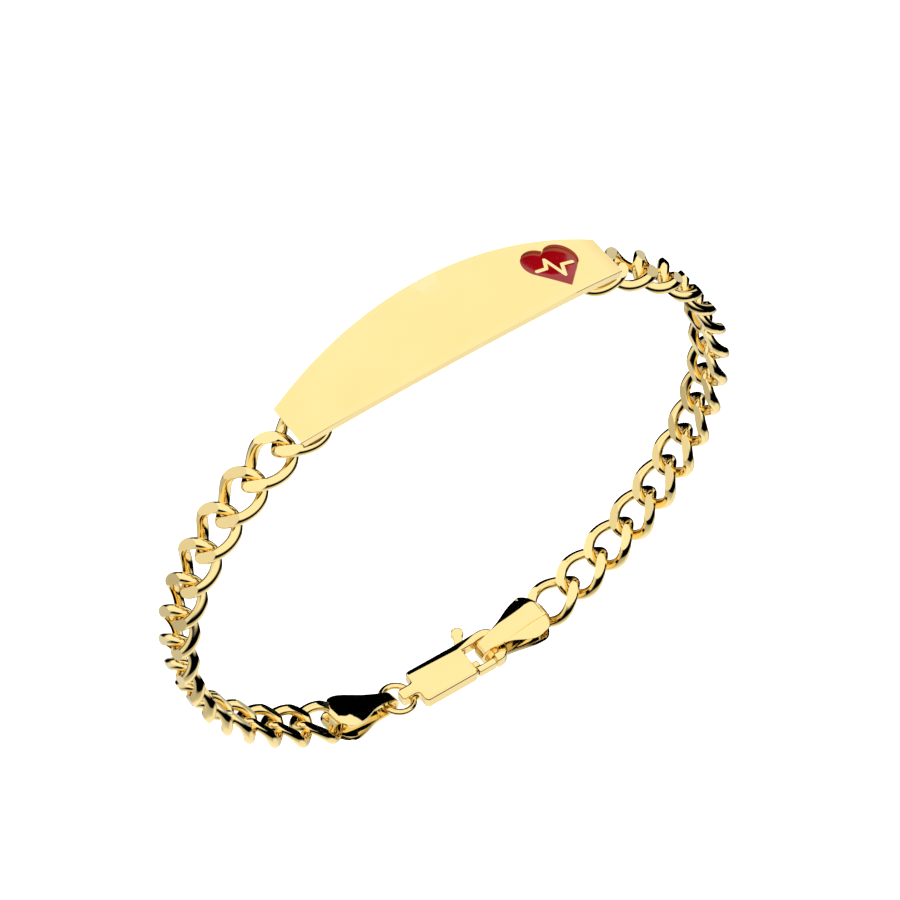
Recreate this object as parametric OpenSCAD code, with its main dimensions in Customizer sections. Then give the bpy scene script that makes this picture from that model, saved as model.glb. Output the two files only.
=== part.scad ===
// A medical alert bracelet: a bowed identity plate with an enamelled heart, two lengths of
// diamond cut curb chain, folded end caps, a jump ring and a lobster clasp with a sprung gate.
// Millimetres. The origin is the middle of the wrist hollow, +Z points out through the plate,
// +X runs along the plate and Y along the wrist. Distances along the loop start at the plate's
// middle and grow towards +X, down the right side and on through the clasp.

/* [Chain] */
// Thickness of the link wire
wire_d = 1.08; // [0.9:0.02:1.16]
// Length of a link over its wire
link_l = 6.28; // [6:0.02:6.8]
// Width of a link over its wire, before it is twisted
link_w = 4.98; // [4.8:0.02:5.4]
// Twist of a link from its middle to each end, in degrees
link_twist = 43; // [40:1:46]
// Thickness of a link over its diamond cut faces
link_t = 1.8; // [1.6:0.02:2]
// Play between the wires of two links that hold each other
link_gap = 0.1; // [0.08:0.02:0.2]
// Number of links from the plate's left end to the left cap
left_links = 15; // [13:1:17]
// Number of links from the plate's right end to the right cap
right_links = 16; // [14:1:18]

/* [Loop] */
// How much wider than tall the loop lies, as a share of its radius
loop_oval = 0.039; // [0.01:0.001:0.06]
// How much the loop is flattened under the plate, as a share of its radius
loop_flat = 0.013; // [0:0.001:0.02]

/* [Plate] */
// Length of the plate from end to end, measured straight
plate_l = 33.6; // [30:0.1:36]
// Width of the plate at its middle
plate_w = 8.8; // [8:0.1:11]
// Width of the plate at its cut ends
plate_end_w = 4.44; // [3.6:0.02:5]
// Thickness of the plate
plate_t = 0.8; // [0.7:0.01:1.2]
// Height of the plate's bow over its ends
plate_bow = 3.9; // [3.4:0.1:4.4]
// Play between the plate's underside and the first links
plate_gap = 0.12; // [0.1:0.01:0.3]
// Distance of each lug's middle from the plate's end, measured straight
lug_in = 3.5; // [3:0.1:4]
// Angle by which the first links lean away from the plate, in degrees
first_lean = 4; // [3:0.5:6]
// Thickness of the wire of the two lugs under the plate
lug_wire = 0.6; // [0.5:0.01:0.7]
// Play between a lug and the link that it holds
lug_gap = 0.08; // [0.06:0.01:0.2]

/* [Emblem] */
// Distance of the heart's middle from the plate's right end, measured straight
heart_in = 5.7; // [5:0.1:10]
// Width of the heart
heart_w = 5.6; // [3:0.1:5.8]
// Depth of the pocket for the enamel
pocket_depth = 0.4; // [0.25:0.01:0.5]
// How far the enamel lies below the plate's face
enamel_sink = 0.14; // [0.05:0.01:0.16]
// Play round the enamel
enamel_gap = 0.03; // [0.02:0.01:0.05]
// Width of the raised pulse line across the heart
pulse_w = 0.36; // [0.2:0.01:0.5]

/* [End caps] */
// Distance from a cap's fold to the middle of the wire that it holds
cap_reach = 7; // [6.6:0.1:8]
// Width of a cap at its widest
cap_w = 4.75; // [4.2:0.05:5.2]
// Width of a cap at its fold
cap_neck_w = 1.24; // [1:0.02:1.34]
// Thickness of the folded sheet
cap_t = 0.4; // [0.3:0.01:0.45]
// Play between a cap's leaves and the thickest thing between them
cap_gap = 0.14; // [0.12:0.01:0.24]
// How far the edges of a leaf droop from its crown
cap_droop = 0.45; // [0.2:0.01:0.5]
// Play between a cap's tongues and the wire that they hold
bar_gap = 0.2; // [0.16:0.01:0.3]
// Gap between the two tongues, which is less than the wire's thickness
tongue_gap = 0.2; // [0.1:0.02:0.3]

/* [Jump ring] */
// Outer width of the jump ring
ring_d = 3.96; // [3.8:0.02:4.4]
// Thickness of the jump ring's wire
ring_wire = 0.66; // [0.5:0.02:0.68]
// How far the middle of the ring's wire lies inside the cap's fold
ring_depth = 1.4; // [1.1:0.05:1.7]

/* [Clasp] */
// Length of the clasp from the hook's end to the tail's end
clasp_l = 12; // [11.4:0.1:14]
// Width of the clasp
clasp_w = 4.1; // [4:0.05:4.5]
// Thickness of the clasp
clasp_t = 1.5; // [1.44:0.02:1.7]
// Distance from the hook's end to the closed part of the clasp
mouth_end = 4; // [3.8:0.05:4.2]
// Width of the hook's metal
hook_w = 0.98; // [0.8:0.02:1.04]
// Length of the narrow tail with the ring's hole
tail_l = 1.8; // [1.7:0.05:2.2]
// Width of the tail
tail_w = 1.28; // [1.1:0.02:1.4]
// Play between the jump ring and its hole in the tail
hole_gap = 0.15; // [0.13:0.01:0.17]
// How far the hook's end lies inside the right cap's fold
hook_depth = 2.8; // [2.6:0.05:2.9]

/* [Gate] */
// Distance of the gate's pin from the hook's end
pin_x = 5.3; // [5.1:0.05:5.8]
// Distance of the gate's pin from the clasp's middle line
pin_y = 1.15; // [1.1:0.01:1.18]
// Thickness of the pin
pin_d = 0.62; // [0.5:0.02:0.66]
// Play between the pin and the gate's bore
pin_gap = 0.06; // [0.04:0.01:0.08]
// Width of the gate round its pin
hub_d = 1.2; // [1.14:0.02:1.26]
// Width of the gate's bar across the mouth
gate_w = 0.7; // [0.6:0.02:0.74]
// Thickness of the gate's bar
gate_t = 1.04; // [0.9:0.02:1.06]
// Thickness of the gate inside the clasp
tang_t = 0.66; // [0.5:0.02:0.7]
// Play between the gate and the clasp
gate_gap = 0.1; // [0.08:0.01:0.12]
// Width of the gate's lever
lever_w = 0.9; // [0.7:0.05:1.1]
// Width of the lever's round thumb piece
knob_d = 1.3; // [1.1:0.05:1.5]
// How far the thumb piece's middle stands off the clasp's side
knob_out = 1.15; // [0.95:0.05:1.4]
// How far the thumb piece lies from the pin towards the hook
knob_back = 2.2; // [1.8:0.05:2.4]
// Angle through which the gate opens, in degrees
gate_swing = 10; // [8:1:10]

/* [Hidden] */
$fn = 64;
link_rings = 16;
wire_sides = 6;
step = 2;
solve_rounds = 8;
far = 60;
hook_r = 1.4;
clasp_r = 0.45;
tail_r = 0.3;
curl_r = 0.55;
tang_lap = 0.7;

link_a = (link_l - wire_d) / 2;
link_b = (link_w - wire_d) / 2;
link_cut = link_t / 2;
pitch = link_l - 2 * wire_d - link_gap;
cap_h = max(clasp_t / 2, link_cut) + cap_gap + cap_t / 2;
cap_l = cap_reach + wire_d / 2 + bar_gap + cap_t / 2;
ring_r = (ring_d - ring_wire) / 2;
ring_sag = ring_r - sqrt(pow(ring_r, 2) - pow(tail_w / 2, 2));
hole_d = ring_wire + 2 * hole_gap;
body_l = clasp_l - tail_l;
hole_x = body_l + hole_d / 2 + gate_gap;
// The gate's end turns on this radius about the pin and just clears the hook's tip
swing_r = 0.875 * (pin_x - hook_w * 1.33);
lever_l = norm([knob_back, clasp_w / 2 + knob_out + pin_y]);
lever_turn = atan2(clasp_w / 2 + knob_out + pin_y, -knob_back);

// The plate's bow: radius of its face and lean of its cut ends
bow_r = (pow(plate_l / 2, 2) + pow(plate_bow, 2)) / (2 * plate_bow);
bow_lean = asin(plate_l / 2 / bow_r);
side_rise = (plate_w - plate_end_w) / 2;
side_r = (pow(plate_l / 2, 2) + pow(side_rise, 2)) / (2 * side_rise);

// The loop's outline for a radius of one, with lengths along it
function unit_pt(a) = (1 - loop_oval * cos(2 * a) - loop_flat * cos(3 * a)) * [sin(a), cos(a)];
function stop_at(i) = min(360, i * step);
function step_l(i) = norm(unit_pt(stop_at(i + 1)) - unit_pt(stop_at(i)));
unit_arc = [for (i = 0, s = 0; (i - 1) * step < 360; s = s + step_l(i), i = i + 1) [s, stop_at(i)]];
unit_l = unit_arc[len(unit_arc) - 1][0];
unit_side = [for (row = unit_arc) if (row[1] <= 80) [unit_pt(row[1])[0], row[0]]];

// The loop's radius, at which the first links' inner ends lie on the lugs and all pieces fit
lug_x = plate_l / 2 - lug_in;
clasp_gap = 2 * (cap_reach + link_a) - hook_depth + hole_x + 2 * ring_r - ring_depth;
chain_l = 2 * link_a + (left_links + right_links - 2) * pitch + clasp_gap;
function arc_to_x(x, r) = r * lookup(x / r, unit_side);
function better_r(r) = (chain_l + 2 * arc_to_x(lug_x, r)) / unit_l;
radii = [for (i = 0, r = plate_l; i <= solve_rounds; i = i + 1, r = better_r(r)) r];
loop_r = radii[len(radii) - 1];
loop_l = loop_r * unit_l;
lug_s = arc_to_x(lug_x, loop_r);
first_s = lug_s + link_a;

// A place on the loop as [x, z], and the direction of a line in degrees about Y
function path_pt(s) = loop_r * unit_pt(lookup((s < 0 ? s + loop_l : s) / loop_r, unit_arc));
function turn_of(p, q) = atan2(p[1] - q[1], q[0] - p[0]);
function path_turn(s) = turn_of(path_pt(s - 0.5), path_pt(s + 0.5));
// The place at a distance along, and another above, a line that starts at p
function off_line(p, turn, along, above) =
    p + along * [cos(turn), -sin(turn)] + above * [sin(turn), cos(turn)];

// The first link hangs from the one after it and leans away from the plate, to the lug
hold_pt = off_line(path_pt(first_s), path_turn(first_s), pitch / 2, 0);
first_turn = path_turn(first_s) - first_lean;
first_pt = off_line(hold_pt, first_turn, -pitch / 2, 0);
lug_pt = off_line(first_pt, first_turn, -link_a, 0);

// Places of the pieces between the two last links
right_last_s = first_s + (right_links - 1) * pitch;
left_last_s = loop_l - first_s - (left_links - 1) * pitch;
// The links' faces slant between the leaves, so a cap lies a little inside the wire it holds
bar_drop = cap_gap / 3;
right_bar = off_line(path_pt(right_last_s), path_turn(right_last_s), link_a, -bar_drop);
left_bar = off_line(path_pt(left_last_s), path_turn(left_last_s), -link_a, -bar_drop);
right_fold = path_pt(right_last_s + link_a + cap_reach);
left_fold = path_pt(left_last_s - link_a - cap_reach);
hook_s = right_last_s + link_a + cap_reach - hook_depth;
clasp_start = path_pt(hook_s);
clasp_turn = turn_of(clasp_start, path_pt(hook_s + clasp_l));
ring_start = off_line(clasp_start, clasp_turn, hole_x - ring_sag / 2, 0);
ring_end = off_line(left_fold, turn_of(left_fold, left_bar), ring_depth, 0);

// The plate's height: the lower edges of its ends clear the first links
lift = link_cut + plate_gap;
end_s = arc_to_x((bow_r - plate_t) * sin(bow_lean) - lift * sin(bow_lean), loop_r);
end_pt = off_line(path_pt(end_s), path_turn(end_s), 0, lift);
plate_top = end_pt[1] + plate_bow + plate_t * cos(bow_lean);
// The link's wire crosses a lug at the slant of its twist
lug_r = wire_d / 2 / cos(link_twist) + lug_gap + lug_wire / 2;
// The lugs' feet and the pulse line root in the plate below the pocket's floor
root_depth = (pocket_depth + plate_t) / 2;
lug_root = plate_top - bow_r + sqrt(pow(bow_r - root_depth, 2) - pow(lug_pt[0], 2));
heart_x = plate_l / 2 - heart_in;

// Puts its children at a place on the XZ plane, turned about Y
module at(p, turn) {
    translate([p[0], 0, p[1]]) rotate([0, turn, 0]) children();
}

// Joins rings of equally many points into one skin, closed to a loop or with flat ends
module skin(rings, closed) {
    n = len(rings);
    m = len(rings[0]);
    last = (n - 1) * m;
    sides = [
        for (i = [0:closed ? n - 1 : n - 2], j = [0:m - 1])
            let (a = i * m, b = (i + 1) % n * m, k = (j + 1) % m)
                each [[a + j, b + k, a + k], [a + j, b + j, b + k]]
    ];
    ends = [
        for (k = [0:m / 2 - 2])
            let (quad = [k, k + 1, m - 2 - k, m - 1 - k])
                each [quad, [for (j = [3:-1:0]) last + quad[j]]]
    ];
    polyhedron([for (r = rings) each r], closed ? sides : concat(sides, ends));
}

// One point of a link's middle line, twisted towards both ends
function link_pt(t) =
    let (lean = link_twist * cos(t))
        [link_a * cos(t), link_b * sin(t) * cos(lean), link_b * sin(t) * sin(lean)];
function unit(v) = v / norm(v);
function cut_flat(p) = [p[0], p[1], max(-link_cut, min(link_cut, p[2]))];
// One ring of points round the wire, cut flat on both faces
function wire_ring(t) =
    let (
        c = link_pt(t),
        along = unit(link_pt(t + 1) - link_pt(t - 1)),
        out = unit(c - (c * along) * along),
        side = cross(along, out)
    )
        [
            for (j = [0:wire_sides - 1])
                let (a = 360 * (j + 0.5) / wire_sides)
                    cut_flat(c + wire_d / 2 * (cos(a) * out + sin(a) * side))
        ];

module link() {
    color("gold") skin([for (i = [0:link_rings - 1]) wire_ring(360 * (i + 0.5) / link_rings)], true);
}

// A link of the right chain, counted from the plate, and its mirror image in the left chain
module right_link(i) {
    s = first_s + (i - 1) * pitch;
    if (i == 1) at(first_pt, first_turn) mirror([1, 0, 0]) link();
    else at(path_pt(s), path_turn(s)) mirror([1, 0, 0]) link();
}

module left_link(i) {
    mirror([1, 0, 0]) right_link(i);
}

// The space between two depths below the plate's bowed face
module bowed_layer(top, bottom) {
    translate([0, 0, plate_top - bow_r]) rotate([90, 0, 0]) difference() {
        cylinder(r = bow_r - top, h = 2 * plate_w, center = true, $fn = 180);
        cylinder(r = bow_r - bottom, h = 3 * plate_w, center = true, $fn = 180);
    }
}

// The plate's long sides, two shallow arcs
module plate_outline() {
    intersection() {
        translate([0, plate_w / 2 - side_r]) circle(r = side_r, $fn = 360);
        translate([0, side_r - plate_w / 2]) circle(r = side_r, $fn = 360);
    }
}

// The wedge between the plate's two cut ends, which point at the middle of its bow
module plate_wedge() {
    translate([0, plate_w, plate_top - bow_r]) rotate([90, 0, 0]) linear_extrude(2 * plate_w)
        polygon([[0, 0], far * [sin(bow_lean), cos(bow_lean)], far * [-sin(bow_lean), cos(bow_lean)]]);
}

// A heart grown all round by a margin
module heart_outline(margin) {
    side = heart_w / (1 + sqrt(0.5));
    translate([0, -0.04 * heart_w]) rotate(45) {
        square(side + 2 * margin, center = true);
        translate([0, side / 2]) circle(d = side + 2 * margin);
        translate([side / 2, 0]) circle(d = side + 2 * margin);
    }
}

// The pulse line's corners as shares of the heart's width
pulse_pts = [[-0.34, 0.02], [-0.16, 0.02], [-0.07, 0.2], [0.05, -0.2], [0.14, 0.02], [0.34, 0.02]];
module pulse_outline(width) {
    for (i = [0:len(pulse_pts) - 2]) {
        p = heart_w * pulse_pts[i];
        q = heart_w * pulse_pts[i + 1];
        translate(p) rotate(atan2(q[1] - p[1], q[0] - p[0]))
            translate([0, -width / 2]) square([norm(q - p), width]);
        translate(p) circle(d = width);
        translate(q) circle(d = width);
    }
}

// The part of a bowed layer that stands on an emblem's outline
module on_face(top, bottom) {
    intersection() {
        bowed_layer(top, bottom);
        translate([heart_x, 0, 0]) linear_extrude(far) children();
    }
}

module id_plate() {
    color("gold") {
        difference() {
            intersection() {
                bowed_layer(0, plate_t);
                linear_extrude(far) plate_outline();
                plate_wedge();
            }
            on_face(-1, pocket_depth) heart_outline(0);
        }
        on_face(enamel_sink / 3, root_depth) pulse_outline(pulse_w);
        for (side = [-1, 1]) translate([side * lug_pt[0], 0, 0]) lug();
    }
}

// A wire ring on a foot that reaches into the plate
module lug() {
    translate([0, 0, lug_pt[1]]) rotate([90, 0, 0])
        rotate_extrude() translate([lug_r, 0]) circle(d = lug_wire);
    foot = lug_pt[1] + lug_r - lug_wire / 2;
    translate([0, 0, foot]) cylinder(d = lug_wire, h = lug_root - foot);
}

module enamel_heart() {
    color("darkred") on_face(enamel_sink, pocket_depth - enamel_gap) difference() {
        heart_outline(-enamel_gap);
        pulse_outline(pulse_w + 2 * enamel_gap);
    }
}

// A leaf's half width and its flat crown's, as shares of the cap's length and half width
side_table = [
    [0, cap_neck_w / cap_w], [0.42, 0.54], [0.53, 0.73], [0.64, 0.9], [0.73, 0.98], [0.81, 1],
    [1, 0.88]
];
crown_table = [[0, 1], [0.42, 0.54], [0.84, 0.42], [0.91, 0.66], [1, 0.66]];
leaf_stops = [0.3, 0.42, 0.53, 0.64, 0.73, 0.81];
crown_share = lookup(0.81, crown_table);
// The leaf's end, which curls behind the link: distance before the curl as a share of the
// cap's length, angle, and half width on the leaf's free side and beside the link's wire
curl_rows = [
    [0.05, 0, 0.98, 0.8], [0, 0, 0.93, 0.4], [0, 30, 0.84, 0.15], [0, 60, 0.66, 0.1], [0, 90, 0.5, 0.04]
];
tongue_shares = [0.4, 0.04];
fold_x = cap_h + cap_t / 2;
cap_slope = cap_droop / (cap_w / 2 * (1 - crown_share));
function side_at(x) = cap_w / 2 * lookup(x / cap_l, side_table);
function crown_at(x) = cap_w / 2 * lookup(x / cap_l, crown_table);

// Cross sections from the fold to the tongue: [x, height, tilt, free side, wire side]
cap_rows = concat(
    [
        for (a = [30:30:90])
            let (x = fold_x - cap_h * cos(a)) [x, cap_h * sin(a), a - 90, side_at(x), side_at(x)]
    ],
    [for (share = leaf_stops) let (x = share * cap_l) [x, cap_h, 0, side_at(x), side_at(x)]],
    [
        for (r = curl_rows)
            [cap_l - curl_r * (1 - sin(r[1])) - r[0] * cap_l, cap_h - curl_r * (1 - cos(r[1])), r[1],
                r[2] * cap_w / 2, r[3] * cap_w / 2]
    ],
    [[cap_l, tongue_gap / 2, 90, tongue_shares[0] * cap_w / 2, tongue_shares[1] * cap_w / 2]]
);

// One ring of points round the sheet, for the outer leaf (up is 1) or the inner leaf (-1)
function sheet_ring(row, up) =
    let (
        low = up > 0 ? row[4] : row[3],
        high = up > 0 ? row[3] : row[4],
        crown = crown_at(row[0]),
        ys = [-low, -min(crown, 0.9 * low), min(crown, 0.9 * high), high]
    )
        concat(
            [for (k = [0:3]) sheet_pt(row, up, ys[k], cap_t / 2)],
            [for (k = [3:-1:0]) sheet_pt(row, up, ys[k], -cap_t / 2)]
        );
function sheet_pt(row, up, y, rise) =
    let (e = rise - cap_slope * max(0, abs(y) - crown_at(row[0])))
        [row[0] + e * sin(row[2]), y, up * (row[1] + e * cos(row[2]))];

module cap() {
    last = len(cap_rows) - 1;
    bend = [fold_x - cap_h, 0, -90, side_at(0), side_at(0)];
    color("gold") skin(
        concat(
            [for (k = [last:-1:0]) sheet_ring(cap_rows[k], 1)],
            [sheet_ring(bend, 1)],
            [for (k = [0:last]) sheet_ring(cap_rows[k], -1)]
        ),
        false
    );
}

module left_cap() {
    at(left_fold, turn_of(left_fold, left_bar)) cap();
}

module right_cap() {
    at(right_fold, turn_of(right_bar, right_fold)) mirror([1, 0, 0]) cap();
}

module jump_ring() {
    at(ring_start, turn_of(ring_start, ring_end)) translate([ring_r, 0, 0])
        color("gold") rotate_extrude() translate([ring_r, 0]) circle(d = ring_wire);
}

// A box from x to x + l, w wide, with its corners rounded
module round_box(x, l, w, r) {
    translate([x + r, -w / 2]) square([l - 2 * r, w]);
    translate([x, r - w / 2]) square([l, w - 2 * r]);
    for (cx = [x + r, x + l - r], cy = [r - w / 2, w / 2 - r])
        translate([cx, cy]) circle(r = r);
}

// The hook seen flat: a round ended bar bent round the mouth, open towards the gate
module hook_plan() {
    difference() {
        round_box(0, mouth_end + 2 * hook_r, clasp_w, hook_r);
        round_box(hook_w, 2 * mouth_end, clasp_w - 2 * hook_w, hook_r - hook_w);
        intersection() {
            translate([pin_x, -pin_y]) circle(r = swing_r + gate_gap);
            translate([0, -clasp_w]) square([mouth_end + clasp_w, clasp_w]);
        }
        translate([mouth_end + clasp_r, -clasp_w]) square(2 * clasp_w);
    }
}

// The clasp seen flat
module clasp_plan() {
    hook_plan();
    round_box(mouth_end, body_l - mouth_end, clasp_w, clasp_r);
    round_box(body_l - 2 * tail_r, tail_l + 2 * tail_r, tail_w, tail_r);
    for (side = [-1, 1]) scale([1, side]) translate([body_l, tail_w / 2]) difference() {
        translate([-clasp_r, -clasp_r]) square(2 * clasp_r);
        translate([clasp_r, clasp_r]) circle(r = clasp_r);
    }
}

// The gate's hub, tang and lever seen flat, grown all round by a margin, about the pin
module tang_plan(margin) {
    reach = pin_x - mouth_end + tang_lap;
    circle(d = hub_d + 2 * margin);
    translate([-reach, -hub_d / 2 - margin]) square([reach, hub_d + 2 * margin]);
    rotate(lever_turn) {
        translate([0, -lever_w / 2 - margin]) square([lever_l, lever_w + 2 * margin]);
        translate([lever_l, 0]) circle(d = knob_d + 2 * margin);
    }
}

module in_clasp() {
    at(clasp_start, clasp_turn) children();
}

module clasp_body() {
    color("gold") in_clasp() {
        difference() {
            linear_extrude(clasp_t, center = true) clasp_plan();
            translate([pin_x, -pin_y, 0]) for (k = [0:4]) rotate(-k * gate_swing / 4)
                linear_extrude(tang_t + 2 * gate_gap, center = true) tang_plan(gate_gap);
            translate([hole_x, 0, 0]) rotate([90, 0, 0]) cylinder(d = hole_d, h = clasp_w, center = true);
        }
        translate([pin_x, -pin_y, 0]) cylinder(d = pin_d, h = clasp_t, center = true);
    }
}

module clasp_gate() {
    color("gold") in_clasp() difference() {
        union() {
            translate([pin_x, -pin_y, 0]) linear_extrude(tang_t, center = true) tang_plan(0);
            linear_extrude(gate_t, center = true) intersection() {
                translate([pin_x, -pin_y]) circle(r = swing_r);
                translate([0, -clasp_w / 2]) square([mouth_end - gate_gap, gate_w]);
            }
        }
        translate([pin_x, -pin_y, 0]) cylinder(d = pin_d + 2 * pin_gap, h = clasp_t, center = true);
    }
}

for (i = [1:left_links]) left_link(i);
for (i = [1:right_links]) right_link(i);
id_plate();
enamel_heart();
left_cap();
right_cap();
jump_ring();
clasp_body();
clasp_gate();
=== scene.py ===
import math

import bmesh
import bpy
from mathutils import Matrix, Vector


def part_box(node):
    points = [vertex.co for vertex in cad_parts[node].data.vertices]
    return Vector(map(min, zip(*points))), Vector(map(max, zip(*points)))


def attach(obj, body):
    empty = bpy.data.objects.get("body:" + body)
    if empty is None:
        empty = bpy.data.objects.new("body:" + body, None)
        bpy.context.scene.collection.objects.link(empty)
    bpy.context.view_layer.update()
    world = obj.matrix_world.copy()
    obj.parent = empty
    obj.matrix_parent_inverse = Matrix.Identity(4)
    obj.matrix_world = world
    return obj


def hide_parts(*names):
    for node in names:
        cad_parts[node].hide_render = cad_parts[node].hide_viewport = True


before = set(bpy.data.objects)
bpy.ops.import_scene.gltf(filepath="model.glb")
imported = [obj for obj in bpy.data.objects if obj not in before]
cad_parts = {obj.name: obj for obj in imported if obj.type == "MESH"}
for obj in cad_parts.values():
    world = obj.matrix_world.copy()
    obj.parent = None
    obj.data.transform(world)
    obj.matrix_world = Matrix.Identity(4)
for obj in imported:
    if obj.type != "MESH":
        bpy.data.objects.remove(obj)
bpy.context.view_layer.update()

MM = 0.001

# How close points count as one, how near a plane counts as on it, and how upright a flat stands
MERGE = 1e-7
NEAR = 1e-6
UPRIGHT = 0.02
# Angles between faces, in radians: of one flat, of an edge that shows, of a corner that is softened
FLAT = math.radians(0.5)
SHARP = math.radians(32)
SQUARE = 1

# Chain, as the links are bent: wire, length, width before the twist, twist, thickness over the cuts,
# then the places round a link, the turn that shows the wire's direction, and the wire's sides
WIRE_D = 1.08 * MM
LINK_L = 6.28 * MM
LINK_W = 4.98 * MM
LINK_TWIST = math.radians(43)
LINK_T = 1.8 * MM
LINK_PLACES = 64
LINK_STEP = 0.01
WIRE_SIDES = 24

# Plate, with the radius of its bow and of its long sides, and its edge's width and steps
PLATE_L = 33.6 * MM
PLATE_W = 8.8 * MM
PLATE_END_W = 4.44 * MM
PLATE_T = 0.8 * MM
PLATE_BOW = 3.9 * MM
PLATE_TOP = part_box("id_plate")[1][2]
BOW_R = (PLATE_L ** 2 / 4 + PLATE_BOW ** 2) / (2 * PLATE_BOW)
SIDE_RISE = (PLATE_W - PLATE_END_W) / 2
SIDE_R = (PLATE_L ** 2 / 4 + SIDE_RISE ** 2) / (2 * SIDE_RISE)
PLATE_SLICES = 120
PLATE_ROWS = 8
PLATE_EDGE = (0.035 * MM, 1)

# Lugs under the plate: the wire's thickness, the ring's place and radius, and the foot's top
LUG_WIRE = 0.6 * MM
LUG_AT = (13.213 * MM, 24.087 * MM)
LUG_R = 1.118 * MM
LUG_ROOT = 25.45 * MM
LUG_SIDES = 20
LUG_PLACES = 48
FOOT_SIDES = 24

# Emblem: the heart's place, its pocket, and the enamel, whose face falls away past a line
HEART_X = PLATE_L / 2 - 5.7 * MM
HEART_W = 5.6 * MM
HEART_Y = -0.04 * HEART_W
HEART_STEPS = 28
POCKET_DEPTH = 0.4 * MM
ENAMEL_SINK = 0.14 * MM
ENAMEL_GAP = 0.03 * MM
ENAMEL_TOP = 0.02 * MM
ENAMEL_SLOPE = 0.085
ENAMEL_FALL_TO = Vector((0.35, 0.94))
ENAMEL_FALL_FROM = -1 * MM
ENAMEL_FALL_BLEND = 0.4 * MM
ENAMEL_GRID = 56
ENAMEL_REACH = 0.55 * HEART_W
PULSE_W = 0.36 * MM
PULSE_ROOT = -(POCKET_DEPTH + PLATE_T) / 2
PULSE_TOP = -ENAMEL_SINK / 3
PULSE_STEP = math.radians(15)
PULSE = [(-0.34, 0.02), (-0.16, 0.02), (-0.07, 0.2), (0.05, -0.2), (0.14, 0.02), (0.34, 0.02)]

# End caps: length, width, neck, sheet, and half height at the leaves' ends and at the ring's fold
CAP_L = 7.94 * MM
CAP_W = 4.75 * MM
CAP_NECK_W = 1.24 * MM
CAP_T = 0.4 * MM
CAP_H = 1.24 * MM
RING_FOLD_H = 0.7 * MM
# How steeply the leaves fall from their ridges, at the tip too, and how the left cap rolls
RIGHT_CAP_SLOPE = 0.55
LEFT_CAP_SLOPE = 0.2
TIP_STEEPER = 1.5
TIP_SLOPE = 0.36
LEFT_CAP_ROLL = math.radians(12)
# Half widths by share of length, of the leaf and of the crown between its ridges, and the rows' places
CAP_SIDES = [
    (0, CAP_NECK_W / CAP_W), (0.2, 0.33), (0.35, 0.42), (0.46, 0.54), (0.56, 0.73), (0.66, 0.91), (0.76, 1),
    (0.9, 1), (1, 0.88)
]
CAP_CROWNS = [(0, 1), (0.3, 0.42), (1, 0.42)]
CROWN_MOST = 0.9
FOLD_STOPS = (22.5, 45, 67.5, 90)
LEAF_STOPS = (0.24, 0.35, 0.46, 0.56, 0.66, 0.76)
# The leaf's end past its cross crease: distance before the curl, share of the dip, angle, half widths
TIP_DIP = 0.11 * MM
CURL_R = 0.55 * MM
CAP_TIP = [
    (0.65 * MM, 0, 0, 1, 0.98), (0.3 * MM, 0.5, 9, 0.98, 0.85), (0, 1, 12, 0.9, 0.6),
    (0, 1, 35, 0.76, 0.3), (0, 1, 62, 0.6, 0.1), (0, 1, 90, 0.5, 0.04)
]
TONGUE_END = 0.1 * MM
TONGUE_SHARES = (0.4, 0.04)
# Ridges, and the rim's width, steps and least angle
RIDGE_COLUMNS = ({2}, {4})
RIDGE_CREASE = 0.75
CAP_EDGE = (0.04 * MM, 2)
CAP_EDGE_ANGLE = math.radians(60)
CAP_LEVELS = 2

# Ring and clasp: the ridge past which the clasp's flats fall, and the edges' widths and steps
RING_R = 1.65 * MM
RING_WIRE = 0.66 * MM
RING_SIDES = 32
RING_PLACES = 96
CLASP_RIDGE = (-1.6 * MM, 1.28 * MM)
CLASP_RIDGE_SIDES = (Vector((-0.035, 1, 0)).normalized(), Vector((0.24, 1, 0)).normalized())
CLASP_SLOPE = 0.31
CLASP_EDGE = (0.2 * MM, 4)
CLASP_RIM = 0.01 * MM
GATE_EDGE = (0.13 * MM, 3)

# Camera, in the bracelet's own frame
CAMERA_AT = Vector((-105.697, -157.213, 258.597)) * MM
CAMERA_AHEAD = Vector((0.3367, 0.5016, -0.7969))
CAMERA_RIGHT = Vector((0.8258, -0.5640, -0.0061))
CAMERA_LENS = 139.06
CAMERA_NEAR = 10 * MM

# Floor, the lamp over it, and the plain backdrop that the camera sees behind the part
FLOOR_Z = -120 * MM
FLOOR_REACH = 3
PAPER = (0.9, 0.9, 0.9, 1)
LAMP_AT = (0, 0, 1.2)
LAMP_SIZE = 2
LAMP_POWER = 32
BACKDROP = (0.95, 0.95, 0.95)

# The studio's brightness by height over the horizon, in degrees
SKY_UP = (0.147, 0.085, 1)
SKY_STRENGTH = 1.07
SKY_STOPS = [
    (-90, 0.95), (-62, 0.9), (-54, 0.68), (-46, 0.54), (-31, 0.42), (-26, 0), (5, 0), (12, 0.3),
    (18, 0.85), (23, 1)
]
# Pale screens: direction, where the screen's soft edge starts and ends, grey
SCREENS = [
    ((-0.85, 0.49, 0.15), (0.7, 0.95), 0.8),
    ((0.34, -0.5, -0.8), (0.86, 0.95), 0.86),
    ((0.857, 0.495, -0.139), (0.965, 0.985), 0.6),
    ((0.765, 0.5, -0.404), (0.985, 0.993), 0.6)
]
# Low black cards that stand round the far side: first angle, sweep, lower edge, upper edge
CARD_R = 95 * MM
CARD_STEPS = 16
CARDS = [
    (math.radians(33.5), math.radians(62), -60 * MM, 64 * MM),
    (math.radians(29), math.radians(4.5), -12 * MM, 32 * MM),
    (math.radians(20), math.radians(13.5), -90 * MM, -24 * MM),
    (math.radians(-35), math.radians(48), -40 * MM, 42 * MM)
]

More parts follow.
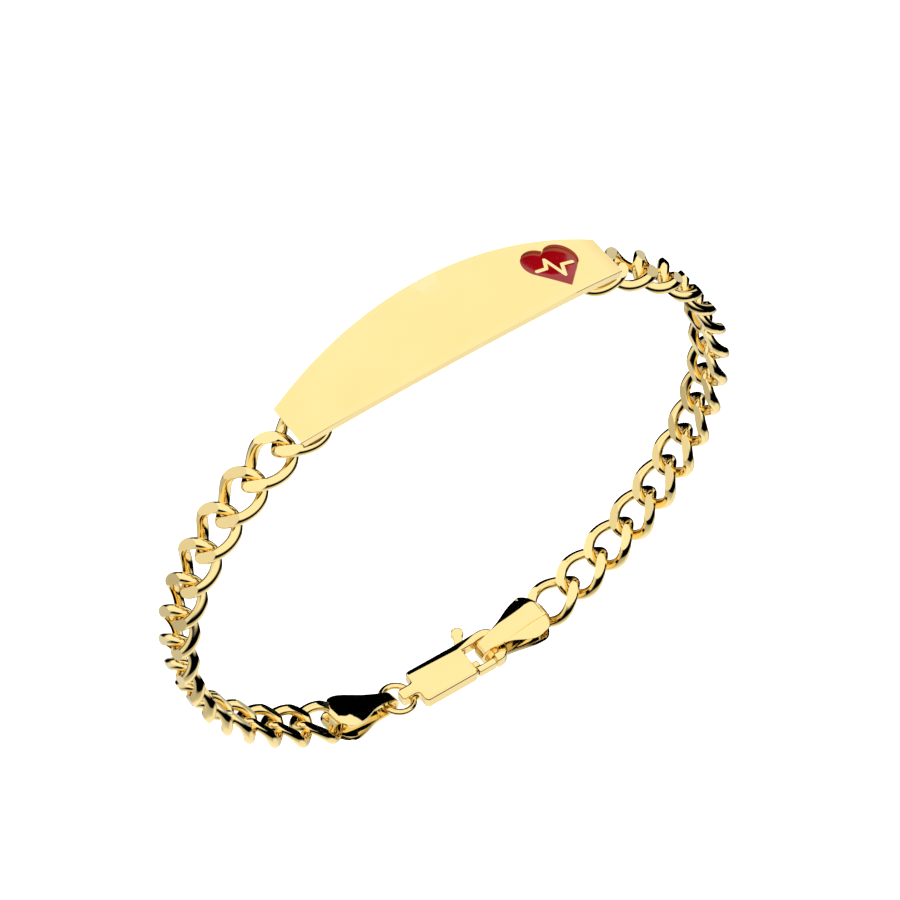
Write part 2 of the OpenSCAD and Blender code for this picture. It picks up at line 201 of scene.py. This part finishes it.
# Gold: its tones, where an edge counts as rubbed, and the haze there
GOLD = (1.0, 0.79, 0.355)
GOLD_DEEP = (1.0, 0.775, 0.33)
GOLD_RUBBED = (1.0, 0.82, 0.42)
RUBBED_EDGE = (0.52, 0.62)
RUBBED_HAZE = 0.05
# Grain: scale, detail, and the range of the noise that is used
GOLD_DRIFT = (190, 2, 0.35, 0.65)
GOLD_HAZE = (1500, 3, 0.3, 0.75)
HAZE_SHARES = (0.5, 1.6)
# Each gold's haze, how its polishing lines are stretched, and how strong they are
PLATE_POLISH = (0.03, (400, 9000, 9000), 0.012)
CHAIN_POLISH = (0.04, (2500, 2500, 2500), 0.02)
CLASP_POLISH = (0.05, (1200, 5000, 5000), 0.03)
POLISH_LINES = (1, 2)
POLISH_DEPTH = 0.01 * MM

# Enamel: its tones, its grain as for the gold, and its ripple
ENAMEL_RED = (0.19, 0.0008, 0.003)
ENAMEL_DEEP = (0.15, 0.0005, 0.002)
ENAMEL_POOLS = (600, 3, 0.3, 0.7)
ENAMEL_SPECKS = (2500, 2, 0.3, 0.7)
ENAMEL_HAZE = (0.03, 0.09)
RIPPLES = (1100, 1)
RIPPLE_STRENGTH = 0.08
RIPPLE_DEPTH = 0.02 * MM


# Meshes

def finish_mesh(bm, name, body, material, replaced):
    """Makes a bmesh a piece that rides on its body in the place of a CAD node."""
    bmesh.ops.remove_doubles(bm, verts=bm.verts, dist=MERGE)
    bmesh.ops.recalc_face_normals(bm, faces=bm.faces)
    for e in corners(bm, SHARP):
        e.smooth = False
    mesh = bpy.data.meshes.new(name)
    bm.to_mesh(mesh)
    bm.free()
    mesh.materials.append(material)
    for face in mesh.polygons:
        face.use_smooth = True
    piece = bpy.data.objects.new(name, mesh)
    bpy.context.scene.collection.objects.link(piece)
    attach(piece, body)
    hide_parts(replaced)
    return piece


def node_copy(name):
    """A merged copy of a CAD node's mesh."""
    bm = bmesh.new()
    bm.from_mesh(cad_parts[name].data)
    bmesh.ops.remove_doubles(bm, verts=bm.verts, dist=MERGE)
    return bm


def lie_of(name):
    """Where a CAD node lies: its middle and its length, width and thickness along its largest flat."""
    bm = node_copy(name)
    areas = {}
    for face in bm.faces:
        n = face.normal
        if abs(n.y) > UPRIGHT:
            continue
        key = round(math.degrees(math.atan2(n.x, n.z)) % 180, 1)
        total, turn = areas.get(key, (0, 0))
        areas[key] = (total + face.calc_area(), math.atan2(n.x, n.z))
    turn = max(areas.values())[1]
    bm.verts.ensure_lookup_table()
    if math.cos(turn) * bm.verts[0].co.z + math.sin(turn) * bm.verts[0].co.x < 0:
        turn += math.pi
    turned = Matrix.Rotation(turn, 4, "Y")
    local = [turned.inverted() @ v.co for v in bm.verts]
    low = Vector([min(p[k] for p in local) for k in range(3)])
    high = Vector([max(p[k] for p in local) for k in range(3)])
    bm.free()
    return turned @ Matrix.Translation((low + high) / 2), high - low


def carve(bm, tool, how):
    """Cuts a shape with another one, or joins the two. Both have to be closed."""
    pair = []
    for shape in (bm, tool):
        mesh = bpy.data.meshes.new("carving")
        shape.to_mesh(mesh)
        shape.free()
        pair.append(bpy.data.objects.new("carving", mesh))
        bpy.context.scene.collection.objects.link(pair[-1])
    cut = pair[0].modifiers.new("cut", "BOOLEAN")
    cut.solver = "EXACT"
    cut.operation = how
    cut.object = pair[1]
    result = bmesh.new()
    result.from_object(pair[0], bpy.context.evaluated_depsgraph_get())
    bmesh.ops.remove_doubles(result, verts=result.verts, dist=MERGE)
    for piece in pair:
        mesh = piece.data
        bpy.data.objects.remove(piece)
        bpy.data.meshes.remove(mesh)
    return result


def thicken(bm, height):
    """Raises flat faces to a closed block."""
    grown = bmesh.ops.extrude_face_region(bm, geom=bm.faces[:])["geom"]
    raised = [v for v in grown if isinstance(v, bmesh.types.BMVert)]
    bmesh.ops.translate(bm, vec=(0, 0, height), verts=raised)
    bmesh.ops.recalc_face_normals(bm, faces=bm.faces)


def soften(bm, edges, width, segments):
    """Rounds edges, and keeps the shading of the faces beside them even."""
    rounded = bmesh.ops.bevel(
        bm, geom=edges, offset=width, segments=segments, profile=0.5, affect="EDGES", material=-1
    )
    faces = set(rounded["faces"])
    for e in {e for face in faces for e in face.edges}:
        if len(faces.intersection(e.link_faces)) == 1:
            e.smooth = False


def corners(bm, angle):
    """The edges where two faces meet at more than an angle."""
    return [e for e in bm.edges if e.is_manifold and e.calc_face_angle() > angle]


# Chain

def join_rings(bm, rings):
    """Bridges rings of vertices one after the other, and the last to the first."""
    edges = [{e for v in ring for e in v.link_edges} for ring in rings]
    for k in range(len(rings)):
        bmesh.ops.bridge_loops(bm, edges=list(edges[k - 1] | edges[k]))


def link_point(t):
    """The wire's middle at a turn round the twisted oval."""
    lean = LINK_TWIST * math.cos(t)
    across = (LINK_W - WIRE_D) / 2 * math.sin(t)
    return Vector(((LINK_L - WIRE_D) / 2 * math.cos(t), across * math.cos(lean), across * math.sin(lean)))


def link_shape():
    """One curb link: a round wire bent to a twisted oval, cut flat on both faces."""
    bm = bmesh.new()
    rings = []
    for k in range(LINK_PLACES):
        t = math.tau * k / LINK_PLACES
        middle = link_point(t)
        along = (link_point(t + LINK_STEP) - link_point(t - LINK_STEP)).normalized()
        out = (middle - middle.dot(along) * along).normalized()
        turned = Matrix((out, along.cross(out), along)).transposed().to_4x4()
        ring = bmesh.ops.create_circle(
            bm, segments=WIRE_SIDES, radius=WIRE_D / 2, matrix=Matrix.Translation(middle) @ turned
        )
        rings.append(ring["verts"])
    join_rings(bm, rings)
    bmesh.ops.recalc_face_normals(bm, faces=bm.faces)
    for side in (1, -1):
        cut = bmesh.ops.bisect_plane(
            bm,
            geom=bm.verts[:] + bm.edges[:] + bm.faces[:],
            plane_co=(0, 0, side * LINK_T / 2),
            plane_no=(0, 0, side),
            clear_outer=True,
        )
        rim = [e for e in cut["geom_cut"] if isinstance(e, bmesh.types.BMEdge)]
        bmesh.ops.holes_fill(bm, edges=rim, sides=0)
        for e in rim:
            e.smooth = False
    return bm


def make_chain(gold):
    """A curb link for each CAD link; those of the right run twist the other way."""
    shape = link_shape()
    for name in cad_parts:
        if "_link_" not in name:
            continue
        place = lie_of(name)[0]
        bm = shape.copy()
        if name.startswith("right"):
            bmesh.ops.transform(bm, matrix=Matrix.Scale(-1, 4, (1, 0, 0)), verts=bm.verts)
        bmesh.ops.transform(bm, matrix=place, verts=bm.verts)
        finish_mesh(bm, name.replace("link", "curb"), "bracelet", gold, name)
    shape.free()


# Plate and emblem

def bow(bm):
    """Bends a shape that lies flat at the plate's face to the plate's bow."""
    for v in bm.verts:
        radius = BOW_R + v.co.z
        turn = math.asin(v.co.x / BOW_R)
        v.co = (radius * math.sin(turn), v.co.y, PLATE_TOP - BOW_R + radius * math.cos(turn))


def plate_blank():
    """The plate before it is bent, with its two curved sides and softened edges."""
    bm = bmesh.new()
    bmesh.ops.create_grid(bm, x_segments=PLATE_SLICES, y_segments=PLATE_ROWS, size=0.5)
    for v in bm.verts:
        x = PLATE_L * v.co.x
        half = PLATE_W / 2 - SIDE_R + math.sqrt(SIDE_R ** 2 - x ** 2)
        v.co = (x, 2 * half * v.co.y, 0)
    thicken(bm, -PLATE_T)
    soften(bm, corners(bm, SQUARE), *PLATE_EDGE)
    return bm


def heart_shape(margin, bottom, top):
    """A heart grown all round by a margin, as a block between two heights."""
    side = HEART_W / (1 + math.sqrt(0.5))
    lobe = side / math.sqrt(8)
    radius = side / 2 + margin
    bm = bmesh.new()
    tip = bm.verts.new((0, -math.sqrt(2) * radius, bottom))
    turn = bm.verts.new((lobe + radius * math.sqrt(0.5), lobe - radius * math.sqrt(0.5), bottom))
    bm.edges.new((tip, turn))
    bmesh.ops.spin(
        bm,
        geom=[turn],
        cent=(lobe, lobe, bottom),
        axis=(0, 0, 1),
        angle=math.acos(-lobe / radius) + math.pi / 4,
        steps=HEART_STEPS,
    )
    bmesh.ops.mirror(bm, geom=bm.verts[:] + bm.edges[:], axis="X", merge_dist=MERGE)
    bmesh.ops.remove_doubles(bm, verts=bm.verts, dist=MERGE)
    bmesh.ops.contextual_create(bm, geom=bm.edges[:])
    thicken(bm, top - bottom)
    bmesh.ops.translate(bm, vec=(HEART_X, HEART_Y, 0), verts=bm.verts)
    return bm


def pulse_shape(width, bottom, top):
    """The pulse line as a bar between two heights, with round ends and outer corners."""
    points = [Vector((HEART_X + HEART_W * x, HEART_W * y, bottom)) for x, y in PULSE]
    way = points + points[-2:0:-1]
    up = Vector((0, 0, 1))
    bm = bmesh.new()
    ends = []
    for before, here, after in zip(way[-1:] + way, way, way[1:] + way[:1]):
        first = (here - before).normalized()
        then = (after - here).normalized()
        side = first.cross(up)
        next_side = then.cross(up)
        turn = math.atan2(first.cross(then).z, first.dot(then)) % math.tau
        if turn > math.pi + PULSE_STEP / 2:
            corner = bm.verts.new(here + width / 2 * (side + next_side) / (1 + side.dot(next_side)))
            ends.append((corner, corner))
            continue
        start = bm.verts.new(here + width / 2 * side)
        arc = bmesh.ops.spin(
            bm, geom=[start], cent=here, axis=up, angle=turn, steps=round(turn / PULSE_STEP)
        )
        ends.append((start, arc["geom_last"][0]))
    for (_, end), (start, _) in zip(ends, ends[1:] + ends[:1]):
        bm.edges.new((end, start))
    bmesh.ops.contextual_create(bm, geom=bm.edges[:])
    thicken(bm, top - bottom)
    return bm


def lug_shape():
    """A wire ring on a short foot that roots in the plate."""
    ring = bmesh.new()
    bmesh.ops.create_circle(
        ring, segments=LUG_SIDES, radius=LUG_WIRE / 2, matrix=Matrix.Translation((LUG_R, 0, 0))
    )
    bmesh.ops.spin(
        ring,
        geom=ring.verts[:] + ring.edges[:],
        axis=(0, 1, 0),
        angle=math.tau,
        steps=LUG_PLACES,
        use_merge=True,
    )
    bmesh.ops.recalc_face_normals(ring, faces=ring.faces)
    foot = bmesh.new()
    height = LUG_ROOT - LUG_AT[1] - LUG_R + LUG_WIRE / 2
    bmesh.ops.create_cone(
        foot,
        cap_ends=True,
        segments=FOOT_SIDES,
        radius1=LUG_WIRE / 2,
        radius2=LUG_WIRE / 2,
        depth=height,
        matrix=Matrix.Translation((0, 0, LUG_R - LUG_WIRE / 2 + height / 2)),
    )
    return carve(ring, foot, "UNION")


def make_plate(gold):
    """The bowed plate with the heart's pocket, the raised pulse line and a lug under each end."""
    bm = carve(plate_blank(), heart_shape(0, -POCKET_DEPTH, MM), "DIFFERENCE")
    bm = carve(bm, pulse_shape(PULSE_W, PULSE_ROOT, PULSE_TOP), "UNION")
    bow(bm)
    for side in (-1, 1):
        lug = lug_shape()
        bmesh.ops.translate(lug, vec=(side * LUG_AT[0], 0, LUG_AT[1]), verts=lug.verts)
        bm = carve(bm, lug, "UNION")
    finish_mesh(bm, "bowed_plate", "bracelet", gold, "id_plate")


def make_enamel(enamel):
    """The heart's enamel, which fills its pocket round the pulse line and sinks towards one side."""
    bm = bmesh.new()
    bmesh.ops.create_grid(
        bm,
        x_segments=ENAMEL_GRID,
        y_segments=ENAMEL_GRID,
        size=ENAMEL_REACH,
        matrix=Matrix.Translation((HEART_X, 0, -ENAMEL_SINK)),
    )
    thicken(bm, ENAMEL_SINK + ENAMEL_GAP - POCKET_DEPTH)
    bm = carve(bm, heart_shape(-ENAMEL_GAP, -MM, MM), "INTERSECT")
    bm = carve(bm, pulse_shape(PULSE_W + 2 * ENAMEL_GAP, -MM, MM), "DIFFERENCE")
    for v in bm.verts:
        if v.co.z > -ENAMEL_SINK - MERGE:
            past = ENAMEL_FALL_TO.dot((v.co.x - HEART_X, v.co.y)) - ENAMEL_FALL_FROM
            v.co.z = -ENAMEL_TOP - ENAMEL_SLOPE * (past + math.hypot(past, ENAMEL_FALL_BLEND)) / 2
    bow(bm)
    finish_mesh(bm, "enamel_inlay", "bracelet", enamel, "enamel_heart")


# End caps, ring and clasp

def share_of(table, x):
    """The value at x on the straight lines between a table's points."""
    for (low, a), (high, b) in zip(table, table[1:]):
        if x <= high:
            return a + (b - a) * (x - low) / (high - low)
    return table[-1][1]


def cap_stations(fold_h, slope):
    """Along a leaf from its fold: place, height, tilt, free half width, half width by the wire, slope."""
    half = CAP_W / 2
    tip_slope = min(TIP_STEEPER * slope, TIP_SLOPE)
    stations = []
    for degrees in FOLD_STOPS:
        turn = math.radians(degrees)
        x = CAP_T / 2 + fold_h * (1 - math.cos(turn))
        side = half * share_of(CAP_SIDES, x / CAP_L)
        stations.append((x, fold_h * math.sin(turn), turn - math.pi / 2, side, side, 0))
    start = stations[-1][0]
    rise = (CAP_H - fold_h) / (CAP_L - CURL_R - start)
    for share in LEAF_STOPS:
        x = share * CAP_L
        side = half * share_of(CAP_SIDES, share)
        stations.append((x, fold_h + rise * (x - start), -math.atan(rise), side, side, slope))
    for before, dip, degrees, free, wired in CAP_TIP:
        turn = math.radians(degrees)
        x = CAP_L - CURL_R * (1 - math.sin(turn)) - before
        height = fold_h + rise * (min(x, CAP_L - CURL_R) - start)
        height -= dip * TIP_DIP + CURL_R * (1 - math.cos(turn))
        stations.append((x, height, turn, free * half, wired * half, tip_slope))
    free, wired = TONGUE_SHARES
    stations.append((CAP_L, TONGUE_END, math.pi / 2, free * half, wired * half, tip_slope))
    return stations


def cap_row(station, up):
    """Points across the sheet at a station of the outer (1) or inner (-1) leaf."""
    x, height, tilt, free, wired, slope = station
    low, high = (wired, free) if up > 0 else (free, wired)
    crown = CAP_W / 2 * share_of(CAP_CROWNS, x / CAP_L)
    left = min(crown, CROWN_MOST * low)
    right = min(crown, CROWN_MOST * high)
    points = []
    for y in (-low, -(low + left) / 2, -left, (right - left) / 2, right, (high + right) / 2, high):
        sink = slope * max(0, abs(y) - crown)
        points.append(Vector((x - sink * math.sin(tilt), y, up * (height - sink * math.cos(tilt)))))
    return points


def make_cap(name, replaced, fold_h, slope, roll, gold):
    """One sheet folded round the ring or hook, with a ridged leaf on both sides of the last link."""
    stations = cap_stations(fold_h, slope)
    neck = CAP_NECK_W / 2
    rows = [cap_row(s, 1) for s in reversed(stations)]
    rows.append(cap_row((CAP_T / 2, 0, -math.pi / 2, neck, neck, 0), 1))
    rows += [cap_row(s, -1) for s in stations]
    across = len(rows[0]) - 1
    bm = bmesh.new()
    bmesh.ops.create_grid(bm, x_segments=len(rows) - 1, y_segments=across, size=1)
    crease = bm.edges.layers.float.new("crease_edge")
    places = {}
    for v in bm.verts:
        row = round((v.co.x + 1) / 2 * (len(rows) - 1))
        column = round((v.co.y + 1) / 2 * across)
        places[v] = (row, column)
        v.co = rows[row][column]
    for e in bm.edges:
        row_pair = {places[v][0] for v in e.verts}
        columns = {places[v][1] for v in e.verts}
        if columns in RIDGE_COLUMNS or row_pair in ({len(CAP_TIP)}, {len(rows) - 1 - len(CAP_TIP)}):
            e[crease] = RIDGE_CREASE
    place, size = lie_of(replaced)
    place = place @ Matrix.Rotation(roll, 4, "X")
    if replaced.startswith("right"):
        place = place @ Matrix.Scale(-1, 4, (1, 0, 0))
    bmesh.ops.transform(bm, matrix=place @ Matrix.Translation((-size.x / 2, 0, 0)), verts=bm.verts)
    piece = finish_mesh(bm, name, "bracelet", gold, replaced)
    sheet = piece.modifiers.new("sheet", "SOLIDIFY")
    sheet.thickness = CAP_T
    sheet.offset = 0
    sheet.use_even_offset = True
    rim = piece.modifiers.new("rim", "BEVEL")
    rim.width, rim.segments = CAP_EDGE
    rim.limit_method = "ANGLE"
    rim.angle_limit = CAP_EDGE_ANGLE
    rim.use_clamp_overlap = False
    rounded = piece.modifiers.new("rounded", "SUBSURF")
    rounded.levels = CAP_LEVELS
    rounded.render_levels = CAP_LEVELS


def make_ring(gold):
    """The jump ring, laid where its CAD node lies."""
    node = node_copy("jump_ring")
    middle = sum((v.co for v in node.verts), Vector()) / len(node.verts)
    reach = max((v.co - middle for v in node.verts), key=lambda p: math.hypot(p.x, p.z))
    node.free()
    axis = Vector((-reach.z, 0, reach.x)).normalized()
    bm = bmesh.new()
    bmesh.ops.create_circle(bm, segments=RING_SIDES, radius=RING_WIRE / 2)
    side = Vector((0, 1, 0))
    turned = Matrix((side, axis, side.cross(axis))).transposed().to_4x4()
    bmesh.ops.transform(bm, matrix=Matrix.Translation(middle + RING_R * side) @ turned, verts=bm.verts)
    bmesh.ops.spin(
        bm,
        geom=bm.verts[:] + bm.edges[:],
        cent=middle,
        axis=axis,
        angle=math.tau,
        steps=RING_PLACES,
        use_merge=True,
    )
    finish_mesh(bm, "tail_ring", "bracelet", gold, "jump_ring")


def whole_flats(name):
    """A copy of a CAD node with each flat made one face again."""
    bm = node_copy(name)
    bmesh.ops.dissolve_limit(bm, angle_limit=FLAT, verts=bm.verts, edges=bm.edges)
    return bm


def slope_far_side(bm, place, half):
    """Lets both flats fall towards the clasp's far side, most where the hook leaves the body."""
    bmesh.ops.triangulate(bm, faces=bm.faces[:])
    ridge = Vector((*CLASP_RIDGE, 0))
    first, second = CLASP_RIDGE_SIDES
    for normal in (first, second, (first - second).normalized()):
        bmesh.ops.bisect_plane(
            bm,
            geom=bm.verts[:] + bm.edges[:] + bm.faces[:],
            plane_co=place @ ridge,
            plane_no=place.to_3x3() @ normal,
        )
    back = place.inverted()
    crease = set()
    for v in bm.verts:
        local = back @ v.co
        past = min((local - ridge).dot(first), (local - ridge).dot(second))
        if abs(past) < NEAR:
            crease.add(v)
        local.z *= 1 - CLASP_SLOPE * max(0, past) / half
        v.co = place @ local
    for e in bm.edges:
        if crease.issuperset(e.verts):
            e.smooth = False


def make_clasp(gold):
    """The clasp's body and gate, from their CAD nodes, with softened edges."""
    place, size = lie_of("clasp_body")
    back = place.inverted()
    half = size.z / 2
    bm = whole_flats("clasp_body")
    faces_at = half - CLASP_RIM
    rims = [e for e in corners(bm, SQUARE) if all(abs((back @ v.co).z) > faces_at for v in e.verts)]
    soften(bm, rims, *CLASP_EDGE)
    slope_far_side(bm, place, half)
    finish_mesh(bm, "lobster_body", "bracelet", gold, "clasp_body")
    bm = whole_flats("clasp_gate")
    soften(bm, corners(bm, SQUARE), *GATE_EDGE)
    finish_mesh(bm, "lobster_gate", "gate", gold, "clasp_gate")


# Materials

def part_of(nodes, links, value, low, high, new_low=0, new_high=1, how="LINEAR"):
    """Stretches a value from one range to another."""
    span = nodes.new("ShaderNodeMapRange")
    span.interpolation_type = how
    for socket, number in zip(("From Min", "From Max", "To Min", "To Max"), (low, high, new_low, new_high)):
        span.inputs[socket].default_value = number
    links.new(value, span.inputs["Value"])
    return span.outputs["Result"]


def grain(nodes, links, place, scale, detail):
    """Even noise over a surface."""
    noise = nodes.new("ShaderNodeTexNoise")
    noise.inputs["Scale"].default_value = scale
    noise.inputs["Detail"].default_value = detail
    links.new(place, noise.inputs["Vector"])
    return noise.outputs["Fac"]


def two_tones(nodes, links, share, first, second, how="MIX"):
    """Mixes a colour, or another mix's result, with a second colour."""
    tones = nodes.new("ShaderNodeMix")
    tones.data_type = "RGBA"
    tones.blend_type = how
    links.new(share, tones.inputs["Factor"])
    if isinstance(first, tuple):
        tones.inputs["A"].default_value = (*first, 1)
    else:
        links.new(first, tones.inputs["A"])
    tones.inputs["B"].default_value = (*second, 1)
    return tones.outputs["Result"]


def emboss(nodes, links, shader, height, strength, depth):
    """Gives a surface a fine relief."""
    bump = nodes.new("ShaderNodeBump")
    bump.inputs["Strength"].default_value = strength
    bump.inputs["Distance"].default_value = depth
    links.new(height, bump.inputs["Height"])
    links.new(bump.outputs["Normal"], shader.inputs["Normal"])


def new_material(name):
    """A material, with its nodes and links."""
    material = bpy.data.materials.new(name)
    material.use_nodes = True
    return material, material.node_tree.nodes, material.node_tree.links


def polished_gold(name, gloss, line_stretch, line_strength):
    """Mirror polished gold, with hazy spots, polishing lines and a little rubbing along the edges."""
    material, nodes, links = new_material(name)
    shader = nodes["Principled BSDF"]
    shader.inputs["Metallic"].default_value = 1
    place = nodes.new("ShaderNodeTexCoord").outputs["Object"]
    scale, detail, *used = GOLD_DRIFT
    drift = part_of(nodes, links, grain(nodes, links, place, scale, detail), *used)
    bent = nodes.new("ShaderNodeNewGeometry").outputs["Pointiness"]
    rubbed = part_of(nodes, links, bent, *RUBBED_EDGE)
    tones = two_tones(nodes, links, drift, GOLD, GOLD_DEEP)
    links.new(two_tones(nodes, links, rubbed, tones, GOLD_RUBBED), shader.inputs["Base Color"])
    scale, detail, *used = GOLD_HAZE
    used += [share * gloss for share in HAZE_SHARES]
    haze = part_of(nodes, links, grain(nodes, links, place, scale, detail), *used)
    rough = nodes.new("ShaderNodeMath")
    rough.operation = "MULTIPLY_ADD"
    links.new(rubbed, rough.inputs[0])
    rough.inputs[1].default_value = RUBBED_HAZE
    links.new(haze, rough.inputs[2])
    links.new(rough.outputs["Value"], shader.inputs["Roughness"])
    drawn = nodes.new("ShaderNodeMapping")
    drawn.inputs["Scale"].default_value = line_stretch
    links.new(place, drawn.inputs["Vector"])
    lines = grain(nodes, links, drawn.outputs["Vector"], *POLISH_LINES)
    emboss(nodes, links, shader, lines, line_strength, POLISH_DEPTH)
    return material


def red_enamel(name):
    """Deep red glass: the colour pools unevenly, and the fired surface is faintly rippled."""
    material, nodes, links = new_material(name)
    shader = nodes["Principled BSDF"]
    place = nodes.new("ShaderNodeTexCoord").outputs["Object"]
    scale, detail, *used = ENAMEL_POOLS
    pooled = part_of(nodes, links, grain(nodes, links, place, scale, detail), *used)
    links.new(two_tones(nodes, links, pooled, ENAMEL_RED, ENAMEL_DEEP), shader.inputs["Base Color"])
    scale, detail, *used = ENAMEL_SPECKS
    haze = part_of(nodes, links, grain(nodes, links, place, scale, detail), *used, *ENAMEL_HAZE)
    links.new(haze, shader.inputs["Roughness"])
    ripples = grain(nodes, links, place, *RIPPLES)
    emboss(nodes, links, shader, ripples, RIPPLE_STRENGTH, RIPPLE_DEPTH)
    return material


# Studio

def make_sky():
    """White above, a black band round the horizon, grey below, and pale screens on some sides."""
    world = bpy.data.worlds.new("studio")
    bpy.context.scene.world = world
    world.use_nodes = True
    nodes = world.node_tree.nodes
    links = world.node_tree.links
    place = nodes.new("ShaderNodeTexCoord")

    def along(direction):
        """How far a ray looks in a direction, from -1 to 1."""
        product = nodes.new("ShaderNodeVectorMath")
        product.operation = "DOT_PRODUCT"
        links.new(place.outputs["Generated"], product.inputs[0])
        product.inputs[1].default_value = Vector(direction).normalized()
        return product.outputs["Value"]

    ramp = nodes.new("ShaderNodeValToRGB")
    links.new(part_of(nodes, links, along(SKY_UP), -1, 1), ramp.inputs["Fac"])
    stops = ramp.color_ramp.elements
    for k, (height, grey) in enumerate(SKY_STOPS):
        stop = stops[k] if k < 2 else stops.new(1)
        stop.position = (1 + math.sin(math.radians(height))) / 2
        stop.color = (grey, grey, grey, 1)
    light = ramp.outputs["Color"]
    for direction, edge, grey in SCREENS:
        share = part_of(nodes, links, along(direction), *edge, how="SMOOTHSTEP")
        light = two_tones(nodes, links, share, light, (grey, grey, grey), "LIGHTEN")
    seen = nodes.new("ShaderNodeLightPath").outputs["Is Camera Ray"]
    background = nodes["Background"]
    background.inputs["Strength"].default_value = SKY_STRENGTH
    links.new(two_tones(nodes, links, seen, light, BACKDROP), background.inputs["Color"])


def studio_piece(bm, name, material):
    """Makes a bmesh a piece of the studio's furniture."""
    mesh = bpy.data.meshes.new(name)
    bm.to_mesh(mesh)
    bm.free()
    mesh.materials.append(material)
    piece = bpy.data.objects.new(name, mesh)
    bpy.context.scene.collection.objects.link(piece)
    return piece


def make_floor():
    """A white floor and the lamp over it, neither of which the gold reflects."""
    bm = bmesh.new()
    below = Matrix.Translation((0, 0, FLOOR_Z))
    bmesh.ops.create_grid(bm, x_segments=1, y_segments=1, size=FLOOR_REACH, matrix=below)
    paper, nodes = new_material("white_paper")[:2]
    nodes["Principled BSDF"].inputs["Base Color"].default_value = PAPER
    floor = studio_piece(bm, "floor", paper)
    floor.visible_glossy = False
    lamp = bpy.data.lights.new("overhead", "AREA")
    lamp.size = LAMP_SIZE
    lamp.energy = LAMP_POWER
    light = bpy.data.objects.new("overhead", lamp)
    bpy.context.scene.collection.objects.link(light)
    light.location = LAMP_AT
    light.visible_glossy = False


def make_cards():
    """Black cards that give the polished faces their dark reflections; no view shows the cards."""
    bm = bmesh.new()
    for first, sweep, low, high in CARDS:
        start = Vector((CARD_R * math.cos(first), CARD_R * math.sin(first), 0))
        ends = [bm.verts.new(start + Vector((0, 0, z))) for z in (low, high)]
        edge = bm.edges.new(ends)
        bmesh.ops.spin(bm, geom=[*ends, edge], axis=(0, 0, 1), angle=sweep, steps=CARD_STEPS)
    velvet, nodes = new_material("black_velvet")[:2]
    shader = nodes["Principled BSDF"]
    shader.inputs["Base Color"].default_value = (0, 0, 0, 1)
    shader.inputs["Specular IOR Level"].default_value = 0
    cards = studio_piece(bm, "black_cards", velvet)
    cards.visible_camera = False
    cards.visible_diffuse = False
    cards.visible_shadow = False


def make_camera():
    """The photo's view."""
    camera = bpy.data.objects.new("camera", bpy.data.cameras.new("camera"))
    bpy.context.scene.collection.objects.link(camera)
    camera.data.lens = CAMERA_LENS
    camera.data.clip_start = CAMERA_NEAR
    up = CAMERA_RIGHT.cross(CAMERA_AHEAD)
    turned = Matrix((CAMERA_RIGHT, up, -CAMERA_AHEAD)).transposed()
    camera.matrix_world = Matrix.Translation(CAMERA_AT) @ turned.to_4x4()
    bpy.context.scene.camera = camera
    bpy.context.scene.view_settings.view_transform = "Standard"


make_camera()
make_sky()
make_floor()
make_cards()
plate_gold = polished_gold("plate_polish", *PLATE_POLISH)
chain_gold = polished_gold("chain_polish", *CHAIN_POLISH)
clasp_gold = polished_gold("clasp_polish", *CLASP_POLISH)
make_chain(chain_gold)
make_plate(plate_gold)
make_enamel(red_enamel("red_enamel"))
make_cap("cap_left", "left_cap", RING_FOLD_H, LEFT_CAP_SLOPE, LEFT_CAP_ROLL, clasp_gold)
make_cap("cap_right", "right_cap", CAP_H, RIGHT_CAP_SLOPE, 0, clasp_gold)
make_ring(clasp_gold)
make_clasp(clasp_gold)
